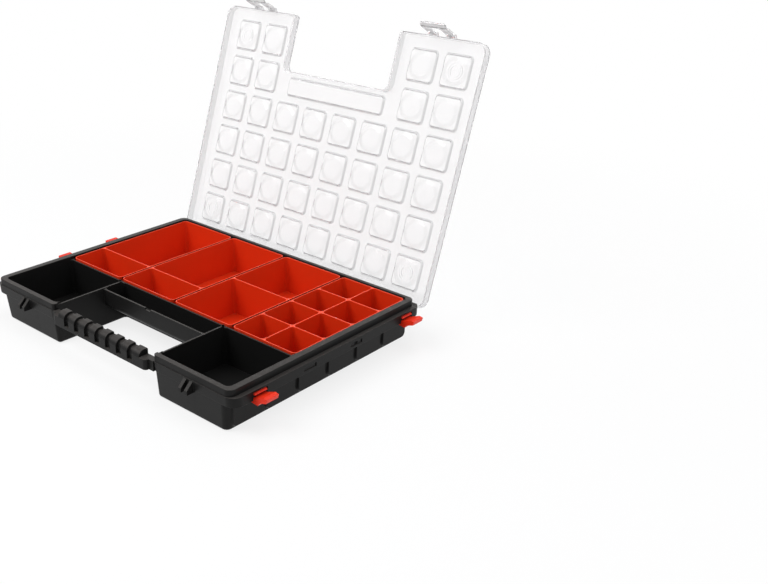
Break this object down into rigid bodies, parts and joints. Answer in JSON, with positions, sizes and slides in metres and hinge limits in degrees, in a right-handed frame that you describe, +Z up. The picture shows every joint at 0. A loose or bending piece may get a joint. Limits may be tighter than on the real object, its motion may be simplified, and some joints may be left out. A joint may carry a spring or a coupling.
{
  "type": "portable organizer case",
  "caption": "Flat carrying case with a hinged clear lid, snap latches, lift-out bins, open wells, a moulded handle and side clips that link cases.",
  "frame": {"origin": "on the underside of the tray, midway between its sides, near the middle of its depth", "axes": "+X to the right seen from the handle, +Y towards the hinge, +Z up"},
  "size_m": [0.4301, 0.4056, 0.3382],
  "materials": {
    "tray_black": "fine satin texture",
    "lid_clear": "clear, polished",
    "latch_clear": "clear, polished",
    "clip_red": "satin",
    "bin_red": "satin"
  },
  "bodies": {
    "base_tray": {"base_tray": "tray_black"},
    "lid": {"lid": "lid_clear"},
    "latch_left": {"latch_left": "latch_clear"},
    "latch_right": {"latch_right": "latch_clear"},
    "clip_front_left": {"clip_front_left": "clip_red"},
    "clip_back_left": {"clip_back_left": "clip_red"},
    "clip_front_right": {"clip_front_right": "clip_red"},
    "clip_back_right": {"clip_back_right": "clip_red"},
    "bin_outer_left": {"bin_outer_left": "bin_red"},
    "bin_inner_left": {"bin_inner_left": "bin_red"},
    "bin_inner_right": {"bin_inner_right": "bin_red"},
    "bin_outer_right": {"bin_outer_right": "bin_red"}
  },
  "joints": [
    {"name": "lid_hinge", "type": "hinge", "parent": "base_tray", "child": "lid", "pos_m": [0, 0.1485, 0.0381], "axis": [-1, 0, 0], "range_deg": [-107.6, 0]},
    {"name": "latch_left_pivot", "type": "hinge", "parent": "lid", "child": "latch_left", "pos_m": [-0.137, 0.24616, 0.32248], "axis": [-1, 0, 0], "range_deg": [-12, 78]},
    {"name": "latch_right_pivot", "type": "hinge", "parent": "lid", "child": "latch_right", "pos_m": [0.137, 0.24616, 0.32248], "axis": [-1, 0, 0], "range_deg": [-12, 78]},
    {"name": "clip_front_left_pivot", "type": "hinge", "parent": "base_tray", "child": "clip_front_left", "pos_m": [-0.1971, -0.038, 0.0356], "axis": [0, 1, 0], "range_deg": [-95, 10]},
    {"name": "clip_back_left_pivot", "type": "hinge", "parent": "base_tray", "child": "clip_back_left", "pos_m": [-0.1971, 0.035, 0.0356], "axis": [0, 1, 0], "range_deg": [-95, 10]},
    {"name": "clip_front_right_pivot", "type": "hinge", "parent": "base_tray", "child": "clip_front_right", "pos_m": [0.1971, -0.1095, 0.0356], "axis": [0, -1, 0], "range_deg": [-80, 25]},
    {"name": "clip_back_right_pivot", "type": "hinge", "parent": "base_tray", "child": "clip_back_right", "pos_m": [0.1971, 0.123, 0.0356], "axis": [0, -1, 0], "range_deg": [-80, 25]},
    {"name": "bin_outer_left_lift", "type": "slide", "parent": "base_tray", "child": "bin_outer_left", "axis": [0, 0, 1], "range_m": [0, 0.06]},
    {"name": "bin_inner_left_lift", "type": "slide", "parent": "base_tray", "child": "bin_inner_left", "axis": [0, 0, 1], "range_m": [0, 0.06]},
    {"name": "bin_inner_right_lift", "type": "slide", "parent": "base_tray", "child": "bin_inner_right", "axis": [0, 0, 1], "range_m": [0, 0.06]},
    {"name": "bin_outer_right_lift", "type": "slide", "parent": "base_tray", "child": "bin_outer_right", "axis": [0, 0, 1], "range_m": [0, 0.06]}
  ]
}
